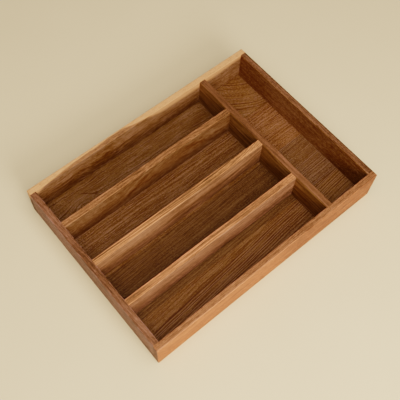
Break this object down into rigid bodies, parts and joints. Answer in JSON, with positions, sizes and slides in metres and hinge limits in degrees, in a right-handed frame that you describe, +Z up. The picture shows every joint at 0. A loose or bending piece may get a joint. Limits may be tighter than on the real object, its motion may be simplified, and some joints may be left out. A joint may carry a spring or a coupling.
{
  "type": "drawer organizer insert",
  "caption": "Shallow open wooden tray for a drawer, split by a cross divider and parallel long dividers into long compartments beside a crosswise compartment.",
  "frame": {"origin": "middle of the tray's bottom, on the plane that it rests on", "axes": "+X along the tray's length towards the crosswise compartment, +Y across it towards the back side board, +Z up out of the open top"},
  "size_m": [0.43, 0.315, 0.062],
  "materials": {
    "front_side_board": "oiled, satin",
    "back_side_board": "oiled, satin",
    "left_end_board": "oiled, satin",
    "right_end_board": "oiled, satin",
    "cross_divider": "oiled, satin",
    "back_long_divider": "oiled, satin",
    "middle_long_divider": "oiled, satin",
    "front_long_divider": "oiled, satin",
    "floor_stave_back": "oiled, satin",
    "floor_stave_mid_back": "oiled, satin",
    "floor_stave_mid_front": "oiled, satin",
    "floor_stave_front": "oiled, satin",
    "dowel_wood": "raw, matt"
  },
  "bodies": {
    "root": {"front_side_board": "front_side_board", "back_side_board": "back_side_board", "left_end_board": "left_end_board", "right_end_board": "right_end_board", "cross_divider": "cross_divider", "back_long_divider": "back_long_divider", "middle_long_divider": "middle_long_divider", "front_long_divider": "front_long_divider", "floor_stave_back": "floor_stave_back", "floor_stave_mid_back": "floor_stave_mid_back", "floor_stave_mid_front": "floor_stave_mid_front", "floor_stave_front": "floor_stave_front", "corner_dowels": "dowel_wood", "cross_divider_dowels": "dowel_wood", "long_divider_left_dowels": "dowel_wood", "long_divider_right_dowels": "dowel_wood"}
  },
  "joints": []
}
